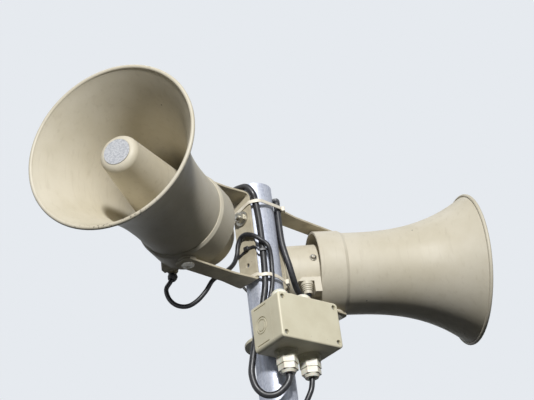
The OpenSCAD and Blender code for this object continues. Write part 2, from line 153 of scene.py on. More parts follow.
def powderCoat(name):
    # Powder coat on bent steel strip: beige, slight orange peel of 2 mm, a few rust-brown chips
    material, tree = newTree(name)
    place = addNode(tree, "TexCoord").outputs["Object"]
    broad = addNode(tree, "TexNoise", {"Vector": place, "Scale": 42.0, "Detail": 6.0, "Roughness": 0.65})
    tone = addNode(tree, "MapRange", {"Value": broad, "From Min": 0.42, "From Max": 0.7})
    base = addNode(tree, "Mix", {0: tone, 6: colour(paint["coat"]), 7: colour(paint["worn"])},
                   data_type="RGBA")
    flakes = addNode(tree, "TexNoise", {"Vector": place, "Scale": 210.0, "Detail": 4.0, "Roughness": 0.7})
    chips = addNode(tree, "MapRange", {"Value": flakes, "From Min": 0.71, "From Max": 0.73, "To Max": 0.8})
    chipped = addNode(tree, "Mix", {0: chips, 6: base.outputs[2], 7: colour(paint["chip"])}, data_type="RGBA")
    peel = addNode(tree, "TexNoise", {"Vector": place, "Scale": 1 / paint["peel"], "Detail": 1.0})
    bump = addNode(tree, "Bump", {"Height": peel, "Strength": 0.12, "Distance": 0.0005})
    surface = addNode(tree, "BsdfPrincipled", {"Base Color": chipped.outputs[2], "IOR": 1.5,
                                               "Roughness": paint["roughness"], "Normal": bump})
    addNode(tree, "OutputMaterial", {"Surface": surface})
    return material


zinc = {"bright": "#c3c7d2", "dull": "#8b91a2", "oxide": "#cdcfd6", "spangle": 0.0016, "roughness": 0.5}


def galvanisedSteel(name):
    # Hot-dip galvanised pipe: small zinc crystals, 1.6 mm wide and 3 mm long, under thin white oxide that has
    # run down in streaks; it looks like dull silver with a fine shimmer
    material, tree = newTree(name)
    place = addNode(tree, "TexCoord").outputs["Object"]
    drawn = addNode(tree, "Mapping", {"Vector": place, "Scale": (1, 1, 0.55)})
    cells = addNode(tree, "TexVoronoi", {"Vector": drawn, "Scale": 1 / zinc["spangle"]})
    shade = addNode(tree, "SeparateColor", {"Color": cells.outputs["Color"]})
    mottle = addNode(tree, "TexNoise", {"Vector": place, "Scale": 900.0, "Detail": 3.0})
    both = addNode(tree, "Math", {0: shade.outputs["Red"], 1: mottle}, operation="MULTIPLY")
    base = addNode(tree, "Mix", {0: both, 6: colour(zinc["bright"]), 7: colour(zinc["dull"])},
                   data_type="RGBA")
    tall = addNode(tree, "Mapping", {"Vector": place, "Scale": (1, 1, 0.05)})
    runs = addNode(tree, "TexNoise", {"Vector": tall, "Scale": 320.0, "Detail": 4.0})
    oxide = addNode(tree, "MapRange", {"Value": runs, "From Min": 0.45, "From Max": 0.75, "To Max": 0.7})
    coated = addNode(tree, "Mix", {0: oxide, 6: base.outputs[2], 7: colour(zinc["oxide"])}, data_type="RGBA")
    metal = addNode(tree, "MapRange", {"Value": oxide, "From Max": 0.7, "To Min": 0.6, "To Max": 0.3})
    gloss = addNode(tree, "MapRange", {"Value": shade.outputs["Green"], "To Min": zinc["roughness"] - 0.06,
                                       "To Max": zinc["roughness"] + 0.1})
    bump = addNode(tree, "Bump", {"Height": mottle, "Strength": 0.15, "Distance": 0.0002})
    surface = addNode(tree, "BsdfPrincipled", {"Base Color": coated.outputs[2], "Metallic": metal,
                                               "Roughness": gloss, "Normal": bump})
    addNode(tree, "OutputMaterial", {"Surface": surface})
    return material


plated = {"bright": "#c3c1b8", "tarnish": "#8c8678", "rust": "#7a5636", "roughness": 0.32}


def zincPlatedSteel(name):
    # Zinc-plated bolts and washers: bright metal gone patchy, with a little rust in places
    material, tree = newTree(name)
    place = addNode(tree, "TexCoord").outputs["Object"]
    patches = addNode(tree, "TexNoise", {"Vector": place, "Scale": 260.0, "Detail": 5.0, "Roughness": 0.6})
    tone = addNode(tree, "MapRange", {"Value": patches, "From Min": 0.35, "From Max": 0.65})
    base = addNode(tree, "Mix", {0: tone, 6: colour(plated["bright"]), 7: colour(plated["tarnish"])},
                   data_type="RGBA")
    rusty = addNode(tree, "MapRange", {"Value": patches, "From Min": 0.64, "From Max": 0.7, "To Max": 0.8})
    mixed = addNode(tree, "Mix", {0: rusty, 6: base.outputs[2], 7: colour(plated["rust"])}, data_type="RGBA")
    metal = addNode(tree, "MapRange", {"Value": rusty, "From Max": 0.8, "To Min": 1.0, "To Max": 0.3})
    gloss = addNode(tree, "MapRange", {"Value": patches, "From Min": 0.3, "From Max": 0.75,
                                       "To Min": plated["roughness"] - 0.06, "To Max": 0.6})
    surface = addNode(tree, "BsdfPrincipled", {"Base Color": mixed.outputs[2], "Metallic": metal,
                                               "Roughness": gloss})
    addNode(tree, "OutputMaterial", {"Surface": surface})
    return material


boxPlastic = {"shell": "#dcd6bd", "dusty": "#d3ccb2", "grain": 0.0016, "roughness": 0.5}


def mouldedPolycarbonate(name):
    # Moulded polycarbonate box: pale grey-beige, dusty in broad patches, with a few small specks; its
    # spark-eroded texture is drawn at 1.6 mm, coarser than real, so that it shows
    material, tree = newTree(name)
    place = addNode(tree, "TexCoord").outputs["Object"]
    broad = addNode(tree, "TexNoise", {"Vector": place, "Scale": 30.0, "Detail": 5.0, "Roughness": 0.6})
    tone = addNode(tree, "MapRange", {"Value": broad, "From Min": 0.38, "From Max": 0.68})
    base = addNode(tree, "Mix", {0: tone, 6: colour(boxPlastic["shell"]), 7: colour(boxPlastic["dusty"])},
                   data_type="RGBA")
    cells = addNode(tree, "TexVoronoi", {"Vector": place, "Scale": 70.0})
    dots = addNode(tree, "MapRange", {"Value": cells, "From Min": 0.02, "From Max": 0.05, "To Min": 0.4,
                                      "To Max": 0.0})
    spotted = addNode(tree, "Mix", {0: dots, 6: base.outputs[2], 7: colour(plastic["speck"])},
                      data_type="RGBA")
    grain = addNode(tree, "TexNoise", {"Vector": place, "Scale": 1 / boxPlastic["grain"], "Detail": 3.0})
    bump = addNode(tree, "Bump", {"Height": grain, "Strength": 0.14, "Distance": 0.0004})
    surface = addNode(tree, "BsdfPrincipled", {"Base Color": spotted.outputs[2], "IOR": 1.58,
                                               "Roughness": boxPlastic["roughness"], "Normal": bump})
    addNode(tree, "OutputMaterial", {"Surface": surface})
    return material


nylon = {"gland": "#efecde", "glandAged": "#ded8c4", "tie": "#e9e3d3", "tieAged": "#dbd2bf"}


def mouldedNylon(name, fresh, aged, through=0.0):
    # Moulded nylon: creamy and slightly waxy; where some light goes through, its edges look softer
    material, tree = newTree(name)
    place = addNode(tree, "TexCoord").outputs["Object"]
    patches = addNode(tree, "TexNoise", {"Vector": place, "Scale": 120.0, "Detail": 4.0})
    tone = addNode(tree, "MapRange", {"Value": patches, "From Min": 0.4, "From Max": 0.68})
    base = addNode(tree, "Mix", {0: tone, 6: colour(fresh), 7: colour(aged)}, data_type="RGBA")
    bump = addNode(tree, "Bump", {"Height": patches, "Strength": 0.1, "Distance": 0.0004})
    surface = addNode(tree, "BsdfPrincipled", {"Base Color": base.outputs[2], "IOR": 1.53, "Roughness": 0.4,
                                               "Subsurface Weight": through, "Subsurface Scale": 0.002,
                                               "Normal": bump})
    addNode(tree, "OutputMaterial", {"Surface": surface})
    return material


sheath = {"black": "#17171b", "dusty": "#3c3b3c", "tape": "#131216", "tapeDust": "#38342f"}


def extrudedPvc(name, dark, dusty, roughness):
    # Extruded PVC: black and satin, with dull dust on it that breaks the highlight
    material, tree = newTree(name)
    place = addNode(tree, "TexCoord").outputs["Object"]
    dust = addNode(tree, "TexNoise", {"Vector": place, "Scale": 190.0, "Detail": 5.0, "Roughness": 0.6})
    mask = addNode(tree, "MapRange", {"Value": dust, "From Min": 0.42, "From Max": 0.72, "To Max": 0.7})
    base = addNode(tree, "Mix", {0: mask, 6: colour(dark), 7: colour(dusty)}, data_type="RGBA")
    gloss = addNode(tree, "MapRange", {"Value": dust, "From Min": 0.35, "From Max": 0.7, "To Min": roughness,
                                       "To Max": roughness + 0.22})
    surface = addNode(tree, "BsdfPrincipled", {"Base Color": base.outputs[2], "IOR": 1.54,
                                               "Roughness": gloss})
    addNode(tree, "OutputMaterial", {"Surface": surface})
    return material


foil = {"bright": "#c4c5c7", "grey": "#a3a5aa", "blot": "#6a6b70", "roughness": 0.55}


def weatheredAluminium(name):
    # Thin rolled aluminium disc, dulled outdoors: silver-grey with darker blots of 1 to 3 mm
    material, tree = newTree(name)
    place = addNode(tree, "TexCoord").outputs["Object"]
    cloud = addNode(tree, "TexNoise", {"Vector": place, "Scale": 480.0, "Detail": 4.0})
    tone = addNode(tree, "MapRange", {"Value": cloud, "From Min": 0.4, "From Max": 0.65})
    base = addNode(tree, "Mix", {0: tone, 6: colour(foil["bright"]), 7: colour(foil["grey"])},
                   data_type="RGBA")
    fine = addNode(tree, "TexNoise", {"Vector": place, "Scale": 720.0, "Detail": 3.0, "Roughness": 0.7})
    blots = addNode(tree, "MapRange", {"Value": fine, "From Min": 0.6, "From Max": 0.68, "To Max": 0.65})
    spotted = addNode(tree, "Mix", {0: blots, 6: base.outputs[2], 7: colour(foil["blot"])}, data_type="RGBA")
    surface = addNode(tree, "BsdfPrincipled", {"Base Color": spotted.outputs[2], "Metallic": 0.35,
                                               "Roughness": foil["roughness"]})
    addNode(tree, "OutputMaterial", {"Surface": surface})
    return material


absBellLeft = weatheredAbs("weatheredAbsLeftMouth", dirtyBelow=0.5625, speckShare=0.6)
absBellRight = weatheredAbs("weatheredAbsRightMouth", speckShare=0.52)
absPart = weatheredAbs("weatheredAbs", speckShare=0.64)
coatedSteel = powderCoat("powderCoatedSteel")
pipeZinc = galvanisedSteel("galvanisedSteel")
boltZinc = zincPlatedSteel("zincPlatedSteel")
boxShell = mouldedPolycarbonate("mouldedPolycarbonate")
glandNylon = mouldedNylon("mouldedNylonWhite", nylon["gland"], nylon["glandAged"], 0.1)
tieNylon = mouldedNylon("mouldedNylonNatural", nylon["tie"], nylon["tieAged"])
blackNylon = mouldedNylon("mouldedNylonBlack", sheath["black"], sheath["dusty"])
blackPvc = extrudedPvc("extrudedPvcBlack", sheath["black"], sheath["dusty"], 0.34)
blackTape = extrudedPvc("woundPvcTape", sheath["tape"], sheath["tapeDust"], 0.42)
discFoil = weatheredAluminium("rolledAluminiumWeathered")
print("materials ready:", len(bpy.data.materials))


# A merged copy of a CAD node, its flat faces joined again, its sharp edges eased and its round faces smooth
def easedCopy(node, material, body, edge, smooth=32, rounds=2):
    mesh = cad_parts[node].data.copy()
    piece = bpy.data.objects.new(node + "_eased", mesh)
    bpy.context.scene.collection.objects.link(piece)
    pick(piece)
    if mesh.has_custom_normals:
        bpy.ops.mesh.customdata_custom_splitnormals_clear()
    bpy.ops.object.mode_set(mode="EDIT")
    bpy.ops.mesh.select_all(action="SELECT")
    bpy.ops.mesh.remove_doubles(threshold=0.000004)
    bpy.ops.mesh.dissolve_limited(angle_limit=math.radians(0.4))
    bpy.ops.object.mode_set(mode="OBJECT")
    easeEdges(piece, edge, rounds)
    return dress(piece, material, body, node, smooth=smooth)


def easeEdges(piece, edge, rounds=2, sharpest=38):
    pick(piece)
    bevel = piece.modifiers.new("edge", "BEVEL")
    bevel.width = edge
    bevel.segments = rounds
    bevel.limit_method = "ANGLE"
    bevel.angle_limit = math.radians(sharpest)
    bevel.use_clamp_overlap = True
    bpy.ops.object.modifier_apply(modifier="edge")


# Smooth round faces, even light on flat ones, then the material, the body and the node that is replaced
def dress(piece, material, body, node=None, smooth=32):
    pick(piece)
    bpy.ops.object.shade_smooth_by_angle(angle=math.radians(smooth))
    even = piece.modifiers.new("even", "WEIGHTED_NORMAL")
    even.keep_sharp = True
    bpy.ops.object.modifier_apply(modifier="even")
    piece.data.materials.clear()
    piece.data.materials.append(material)
    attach(piece, body)
    if node:
        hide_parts(node)
    return piece


# A circle drawn out ring by ring through the points (radius, height) of a closed profile, then set in place
def turned(name, profile, place, rings=128):
    deselectAll()
    radius, height = profile[0]
    bpy.ops.mesh.primitive_circle_add(vertices=rings, radius=radius, location=(0, 0, height))
    piece = bpy.context.active_object
    piece.name = name
    bpy.ops.object.mode_set(mode="EDIT")
    bpy.ops.mesh.select_all(action="SELECT")
    for nextRadius, nextHeight in profile[1:]:
        bpy.ops.mesh.extrude_region_move(TRANSFORM_OT_translate={"value": (0, 0, nextHeight - height)})
        grow = nextRadius / radius
        bpy.ops.transform.resize(value=(grow, grow, 1), center_override=(0, 0, nextHeight))
        radius, height = nextRadius, nextHeight
    bpy.ops.mesh.select_all(action="SELECT")
    bpy.ops.mesh.remove_doubles(threshold=0.00002)
    bpy.ops.mesh.normals_make_consistent(inside=False)
    bpy.ops.object.mode_set(mode="OBJECT")
    applyAll(piece)
    piece.matrix_world = place
    applyAll(piece)
    return piece


def arc(radius, height, size, start, end, steps):
    # the round stretch of a profile about a centre, from one direction to another
    turns = [math.radians(start + (end - start) * i / steps) for i in range(steps + 1)]
    return [(radius + size * math.cos(turn), height + size * math.sin(turn)) for turn in turns]


def solidOf(points):
    # closes a profile on its axis
    return [(0.0001, points[0][1])] + points + [(0.0001, points[-1][1]), (0.0001, points[0][1])]


def cutOrJoin(piece, tool, operation):
    pick(piece)
    step = piece.modifiers.new("step", "BOOLEAN")
    step.operation = operation
    step.solver = "EXACT"
    step.object = tool
    bpy.ops.object.modifier_apply(modifier="step")
    bpy.data.objects.remove(tool)


def drillHole(piece, radius, depth, place, sides=32):
    deselectAll()
    bpy.ops.mesh.primitive_cylinder_add(vertices=sides, radius=radius, depth=depth)
    drill = bpy.context.active_object
    drill.matrix_world = place
    cutOrJoin(piece, drill, "DIFFERENCE")


def block(name, size, centre):
    deselectAll()
    bpy.ops.mesh.primitive_cube_add(size=1, location=centre)
    piece = bpy.context.active_object
    piece.name = name
    piece.scale = size
    applyAll(piece)
    return piece


# Selects the edges whose two ends pass a test, and leaves the piece in edit mode
def selectEdges(piece, wanted):
    pick(piece)
    bpy.ops.object.mode_set(mode="EDIT")
    bpy.ops.mesh.select_mode(type="EDGE")
    bpy.ops.mesh.select_all(action="DESELECT")
    bpy.ops.object.mode_set(mode="OBJECT")
    for edge in piece.data.edges:
        edge.select = wanted(*(piece.data.vertices[v] for v in edge.vertices))
    bpy.ops.object.mode_set(mode="EDIT")


def bevelWhere(piece, width, segments, wanted):
    selectEdges(piece, wanted)
    bpy.ops.mesh.bevel(offset=width, segments=segments, profile=0.5, affect="EDGES")
    bpy.ops.object.mode_set(mode="OBJECT")


def joined(name, pieces):
    deselectAll()
    for piece in pieces:
        piece.select_set(True)
    bpy.context.view_layer.objects.active = pieces[0]
    bpy.ops.object.join()
    pieces[0].name = name
    return pieces[0]


# Mast head: pipe and the bolt through both brackets
mast = {"radius": 0.02415, "top": 0.75, "edge": 0.0006, "boltEdge": 0.0004}
pipe = easedCopy("mast_pipe", pipeZinc, "mast", mast["edge"])
easedCopy("bracket_bolt", boltZinc, "mast", mast["boltEdge"], 30)

# Brackets: steel strip bent to a U, its arms' ends cut off at the corners, a spare hole in the base
bracket = {"baseIn": 0.0243, "thick": 0.003, "baseWidth": 0.032, "armWidth": 0.025, "armOut": 0.06565,
           "bend": 0.007, "bendSteps": 8, "taperFrom": 0.012, "taperTo": 0.040, "end": 0.1202,
           "endCut": 0.0045, "spareHole": 0.003, "spareDrop": 0.038, "drillThrough": 0.03,
           "drillMast": 0.012, "edge": 0.0006}
horn = {"pivotReach": 0.132, "leftHeight": 0.667, "rightHeight": 0.660, "bracketDir": 46.5, "leftAim": 251,
        "rightAim": 11}
# Turns what was drawn up Z onto the horn's axis
alongX = Matrix.Rotation(math.radians(90), 4, "Y")


def fromMast(side, height, reach):
    # a place at a height, and at a distance from the mast's axis towards one of the horns
    turn = math.radians(horn["bracketDir"] + (180 if side == "left" else 0))
    return (Matrix.Translation((0, 0, height)) @ Matrix.Rotation(turn, 4, "Z")
            @ Matrix.Translation((reach, 0, 0)))


def hornPlace(side):
    pivot = fromMast(side, horn[side + "Height"], horn["pivotReach"]).translation
    return Matrix.Translation(pivot) @ Matrix.Rotation(math.radians(horn[side + "Aim"]), 4, "Z")


def armStations():
    # (x, height, width) of the strip's outer face, from the base round the bend to the arm's end
    bend, top, baseWidth, armWidth = (bracket[key] for key in ("bend", "armOut", "baseWidth", "armWidth"))
    cut, end = bracket["endCut"], bracket["end"]
    bent = arc(bend, top - bend, bend, 180, 90, bracket["bendSteps"])[1:]
    return [(x, height, baseWidth) for x, height in bent] + [
        (bracket["taperFrom"], top, baseWidth), (bracket["taperTo"], top, armWidth),
        (end - cut, top, armWidth), (end, top, armWidth - 2 * cut)]


def bracketPiece(side):
    deselectAll()
    half = bracket["armOut"] - bracket["bend"]
    bpy.ops.mesh.primitive_plane_add(size=1, location=(0, 0, 0), rotation=(0, math.radians(-90), 0))
    piece = bpy.context.active_object
    piece.name = side + "_bracket_bent"
    piece.scale = (2 * half, bracket["baseWidth"], 1)
    applyAll(piece)
    for way in (1, -1):
        selectEdges(piece, lambda a, b: max(abs(a.co.z - way * half), abs(b.co.z - way * half)) < same)
        x, height, width = 0.0, half, bracket["baseWidth"]
        for nextX, nextHeight, nextWidth in armStations():
            move = (nextX - x, 0, way * (nextHeight - height))
            bpy.ops.mesh.extrude_region_move(TRANSFORM_OT_translate={"value": move})
            bpy.ops.transform.resize(value=(1, nextWidth / width, 1),
                                     center_override=(nextX, 0, way * nextHeight))
            x, height, width = nextX, nextHeight, nextWidth
        bpy.ops.object.mode_set(mode="OBJECT")
    wall = piece.modifiers.new("wall", "SOLIDIFY")
    wall.thickness = bracket["thick"]
    wall.offset = -1
    wall.use_even_offset = True
    applyAll(piece)
    drillHole(piece, bracket["spareHole"], bracket["drillThrough"],
              Matrix.Translation((0, 0, -bracket["spareDrop"])) @ alongX)
    easeEdges(piece, bracket["edge"], 2, 50)
    piece.matrix_world = fromMast(side, horn[side + "Height"], bracket["baseIn"])
    applyAll(piece)
    dress(piece, coatedSteel, "mast", side + "_bracket", smooth=30)
    # the spare hole goes on through the pipe's wall
    drillHole(pipe, bracket["spareHole"], bracket["drillMast"],
              fromMast(side, horn[side + "Height"] - bracket["spareDrop"], mast["radius"]) @ alongX)


for side in ("left", "right"):
    bracketPiece(side)
print("mast head dressed")

# Bell: straight neck, flare and rolled lip; the left one has a drain hole at its lowest place
bell = {"neck": 0.057, "neckLength": 0.016, "mouth": 0.104, "length": 0.198, "power": 2.8, "wall": 0.002,
        "lip": 0.0025, "lipFrom": -115, "lipTo": 181, "underLip": 0.0015, "tube": 0.01615, "floor": 0.003,
        "steps": 40, "drainRadius": 0.0025, "drainBack": 0.013, "drainDepth": 0.03}


def flare(x):
    along = max(0, (x - bell["neckLength"]) / (bell["length"] - bell["neckLength"]))
    return bell["neck"] + (bell["mouth"] - bell["neck"]) * along ** bell["power"]


def bellProfile():
    outer, inner = [], []
    for i in range(bell["steps"] + 1):
        # the flare ends inside the lip
        x = bell["neckLength"] + (bell["length"] - bell["underLip"] - bell["neckLength"]) * i / bell["steps"]
        lean = (flare(x + 0.0005) - flare(x - 0.0005)) / 0.001
        long = math.hypot(1, lean)
        outer.append((flare(x), x))
        inner.append((flare(x) - bell["wall"] / long, x + bell["wall"] * lean / long))
    lip = arc(bell["mouth"], bell["length"], bell["lip"], bell["lipFrom"], bell["lipTo"], 18)
    neck, tube, floor = bell["neck"], bell["tube"], bell["floor"]
    return [(neck, 0.0), *outer, *lip, *inner[-2::-1], (neck - bell["wall"], floor), (tube, floor),
            (tube, 0.0), (neck, 0.0)]


def bellPiece(side):
    piece = turned(side + "_bell_turned", bellProfile(), hornPlace(side) @ alongX, 160)
    if side == "left":
        # its drain hole, and a dark plug in it that is painted shade: it stands for the shade seen down the
        # hole
        back = bell["length"] - bell["drainBack"]
        low = hornPlace(side) @ Matrix.Translation((back, 0, bell["wall"] / 2 - flare(back)))
        drillHole(piece, bell["drainRadius"], bell["drainDepth"], low, 24)
        size = bell["drainRadius"] - 0.0001
        plug = solidOf([(size, -0.0008), (size, 0.0003), (size * 0.5, 0.0001)])
        holeShade = turned("left_drain_shade_plug", plug, low, 24)
        dress(holeShade, blackTape, "left_horn", smooth=40)
    dress(piece, absBellLeft if side == "left" else absBellRight, side + "_horn", side + "_bell")


# Reflector: long cone with a rounded cap and a fine groove round the thin disc
reflector = {"rear": 0.039, "rearAt": 0.046, "cap": 0.0245, "capAt": 0.182, "round": 0.009, "wall": 0.002,
             "disc": 0.0165, "discThick": 0.0008, "groove": 0.0006}


def reflectorProfile():
    edge = reflector["capAt"] - reflector["round"]
    corner = reflector["cap"] - reflector["round"]
    points = [(reflector["rear"], reflector["rearAt"])]
    for i in range(1, 5):
        part = i / 5
        points.append((reflector["rear"] + (reflector["cap"] - reflector["rear"]) * part,
                       reflector["rearAt"] + (edge - reflector["rearAt"]) * part))
    points += arc(corner, edge, reflector["round"], 0, 90, 12)[:-1]
    disc, deep, top = reflector["disc"], reflector["groove"], reflector["capAt"]
    points += [(disc + 0.00045, top), (disc + 0.0003, top - deep), (disc - 0.0002, top - deep),
               (disc - 0.0004, top), (0.002, top), (0.0001, top)]
    inside = reflector["capAt"] - reflector["wall"]
    points += [(0.0001, inside), (corner, inside), (reflector["cap"] - reflector["wall"], edge),
               (reflector["rear"] - reflector["wall"], reflector["rearAt"]), points[0]]
    return points


def discProfile():
    radius, thick, at = reflector["disc"], reflector["discThick"], reflector["capAt"]
    return solidOf([(radius, at), (radius, at + thick * 0.6), (radius - thick * 0.4, at + thick),
                    (radius * 0.55, at + thick)])


# Ring behind the bell: a wall on the neck, a web across it, and a boss above and below for the pivots
ring = {"inside": 0.05715, "wall": 0.003, "front": 0.0155, "rear": 0.024, "slope": 0.005, "web": 0.004,
        "hole": 0.0135, "boss": 0.0115, "bossHeight": 0.0022, "bossDeep": 0.006, "bossEdge": 0.0006,
        "coreRadius": 0.03715, "coreHalf": 0.03, "sink": 0.0008}


def ringPiece(side):
    inside, outside, front, rear = ring["inside"], ring["inside"] + ring["wall"], ring["front"], -ring["rear"]
    profile = [(ring["hole"], -ring["web"]), (ring["hole"], -0.00005), (inside, -0.00005), (inside, front),
               (inside + 0.0007, front), (outside - 0.0005, front - ring["slope"] + 0.0012),
               (outside, front - ring["slope"]), (outside, rear + 0.0007), (outside - 0.0007, rear),
               (inside, rear), (inside, -ring["web"]), (ring["hole"], -ring["web"])]
    piece = turned(side + "_ring_turned", profile, alongX)
    for way in (1, -1):
        # each boss ends inside the ring's wall
        deselectAll()
        middle = outside + ring["bossHeight"] - ring["bossDeep"] / 2
        bpy.ops.mesh.primitive_cylinder_add(vertices=64, radius=ring["boss"], depth=ring["bossDeep"],
                                            location=(0, 0, way * middle))
        boss = bpy.context.active_object
        easeEdges(boss, ring["bossEdge"])
        near, far, half = ring["coreRadius"], inside + ring["sink"], ring["coreHalf"]
        core = turned("core", [(near, -half), (far, -half), (far, half), (near, half), (near, -half)], alongX)
        cutOrJoin(boss, core, "DIFFERENCE")
        cutOrJoin(piece, boss, "UNION")
    piece.matrix_world = hornPlace(side)
    applyAll(piece)
    dress(piece, absPart, side + "_horn", side + "_rear_ring", smooth=35)


# Driver housing: a turned drum with a rounded rear edge and a shallow dish in its rear face
driver = {"front": 0.0425, "rear": 0.0405, "length": 0.066, "startsAt": 0.004, "round": 0.004, "dish": 0.0015,
          "screwBack": 0.0295, "screwTurn": 7, "screwSink": 0.0006, "tubeEdge": 0.0003,
          "terminalEdge": 0.0009, "glandEdge": 0.0002}


def driverProfile():
    rear, length, edge = driver["rear"], driver["length"], driver["round"]
    return solidOf([(driver["front"] - 0.001, 0.00001), (driver["front"], 0.0012),
                    *arc(rear - edge, length - edge, edge, 0, 90, 8),
                    (rear * 0.72, length), (rear * 0.66, length - driver["dish"])])


def screwProfile():
    return solidOf([(0.005, 0.0), (0.005, 0.0008), (0.0048, 0.001), (0.0041, 0.001), (0.0038, 0.0024),
                    (0.0026, 0.0037), (0.0012, 0.0038)])


# Pivot bolts: low round heads over the arms
pivot = {"radius": 0.004, "from": 0.05815, "head": 0.06595, "headRadius": 0.0082, "headHeight": 0.0029}


def pivotProfile():
    base, high, wide = pivot["head"], pivot["headHeight"], pivot["headRadius"]
    return solidOf([(pivot["radius"], pivot["from"]), (pivot["radius"], base), (wide, base),
                    (wide, base + 0.0009), (wide * 0.93, base + high * 0.55),
                    (wide * 0.7, base + high * 0.88), (wide * 0.4, base + high)])


def besideDriver(turn):
    # a place on the drum's side, for a screw that looks outwards
    onSide = Matrix.Translation((-driver["screwBack"], driver["screwSink"] - driver["front"], 0))
    return Matrix.Rotation(math.radians(-turn), 4, "X") @ onSide @ Matrix.Rotation(math.radians(90), 4, "X")


for side in ("left", "right"):
    body = side + "_horn"
    place = hornPlace(side)
    bellPiece(side)
    piece = turned(side + "_reflector_turned", reflectorProfile(), place @ alongX, 96)
    dress(piece, absPart, body, side + "_reflector")
    piece = turned(side + "_cap_disc", discProfile(), place @ alongX, 64)
    dress(piece, discFoil, body, side + "_cap_plate")
    ringPiece(side)
    easedCopy(side + "_sound_tube", absPart, body, driver["tubeEdge"], 35)
    piece = turned(side + "_driver_turned", driverProfile(),
                   place @ Matrix.Translation((-driver["startsAt"], 0, 0)) @ alongX.inverted())
    dress(piece, absPart, body, side + "_driver_housing", smooth=30)
    screws = [turned("screw", screwProfile(), place @ besideDriver(turn), 24)
              for turn in (driver["screwTurn"], driver["screwTurn"] + 180)]
    dress(joined(side + "_driver_screws", screws), boltZinc, body, smooth=30)
    easedCopy(side + "_terminal_box", absPart, body, driver["terminalEdge"], 30, 3)
    easedCopy(side + "_lead_gland", absPart, body, driver["glandEdge"], 30)
    bolts = [turned("bolt", pivotProfile(), place @ Matrix.Rotation(turn, 4, "X"), 32)
             for turn in (0, math.pi)]
    dress(joined(side + "_pivot_bolts_turned", bolts), boltZinc, body, side + "_pivot_bolts", smooth=30)
print("horns built")

# Junction box: body with stepped bosses and ringed blind plates, and a lid with soft edges
box = {"height": 0.522, "facing": 309.5, "back": 0.02455, "width": 0.095, "tall": 0.062, "depth": 0.056,
       "lid": 0.018, "lidGap": 0.00015, "round": 0.005, "lidSoft": 0.0024, "bossX": 0.019,
       "bossLats": (-0.0148, 0.0212), "bossLength": 0.009, "plateX": 0.017,
       "rings": ((0.0102, 0.0114), (0.0068, 0.0079)), "ringDeep": 0.0011, "ringOut": 0.002,
       "lineHigh": 0.0245, "lineSize": (0.025, 0.0022, 0.0013),
       "screwInset": 0.007, "screwHole": 0.0034, "screwDeep": 0.005, "bodyEdge": 0.0003,
       "screwEdge": 0.0003, "collarEdge": 0.0006, "glandEdge": 0.0006, "plugEdge": 0.0012}
boxPlace = (Matrix.Translation((0, 0, box["height"])) @ Matrix.Rotation(math.radians(box["facing"]), 4, "Z")
            @ Matrix.Translation((box["back"], 0, 0)))


def slab(name, back, front):
    # rounded along the four edges that run from back to front
    piece = block(name, (front - back, box["width"], box["tall"]), ((back + front) / 2, 0, 0))
    bevelWhere(piece, box["round"], 6, lambda a, b: abs(a.co.x - b.co.x) > same)
    return piece


def bossProfile():
    low = -box["tall"] / 2 - box["bossLength"]
    return solidOf([(0.0132, low), (0.0136, low + 0.0004), (0.0136, low + 0.0048), (0.0143, low + 0.0052),
                    (0.0143, low + 0.0068), (0.015, low + 0.0072), (0.015, low + 0.0105)])


def groovePiece(inner, outer, way):
    low, high = -box["ringDeep"], box["ringOut"]
    return turned("groove", [(inner, low), (outer, low), (outer, high), (inner, high), (inner, low)],
                  Matrix.Translation((box["plateX"], way * box["width"] / 2, 0))
                  @ Matrix.Rotation(math.radians(-90 * way), 4, "X"), 48)


lidBack = box["depth"] - box["lid"]
body = slab("box_body_moulded", 0.0, lidBack - box["lidGap"])
for way in (1, -1):
    # two ring grooves and two fine lines frame the blind plate on each side
    for inner, outer in box["rings"]:
        cutOrJoin(body, groovePiece(inner, outer, way), "DIFFERENCE")
    for high in (-1, 1):
        place = (box["plateX"], way * box["width"] / 2, high * box["lineHigh"])
        cutOrJoin(body, block("line", box["lineSize"], place), "DIFFERENCE")
for lat in box["bossLats"]:
    boss = turned("boss", bossProfile(), Matrix.Translation((box["bossX"], lat, 0)), 64)
    cutOrJoin(body, boss, "UNION")
easeEdges(body, box["bodyEdge"], 2, 50)
body.matrix_world = boxPlace
applyAll(body)
dress(body, boxShell, "mast", "box_body", smooth=35)

lid = slab("box_lid_moulded", lidBack, box["depth"])
bevelWhere(lid, box["lidSoft"], 4, lambda a, b: min(a.co.x, b.co.x) > box["depth"] - same)
for high in (-1, 1):
    for wide in (-1, 1):
        corner = (box["depth"], wide * (box["width"] / 2 - box["screwInset"]),
                  high * (box["tall"] / 2 - box["screwInset"]))
        drillHole(lid, box["screwHole"], 2 * box["screwDeep"], Matrix.Translation(corner) @ alongX)
lid.matrix_world = boxPlace
applyAll(lid)
dress(lid, boxShell, "mast", "box_lid", smooth=35)
easedCopy("box_lid_screws", boltZinc, "mast", box["screwEdge"], 30)
easedCopy("box_collar", boxShell, "mast", box["collarEdge"], 35)
for node in ("box_gland_left", "box_gland_right"):
    easedCopy(node, glandNylon, "mast", box["glandEdge"], 35)
easedCopy("box_top_plugs", glandNylon, "mast", box["plugEdge"], 35, 3)
print("junction box dressed")

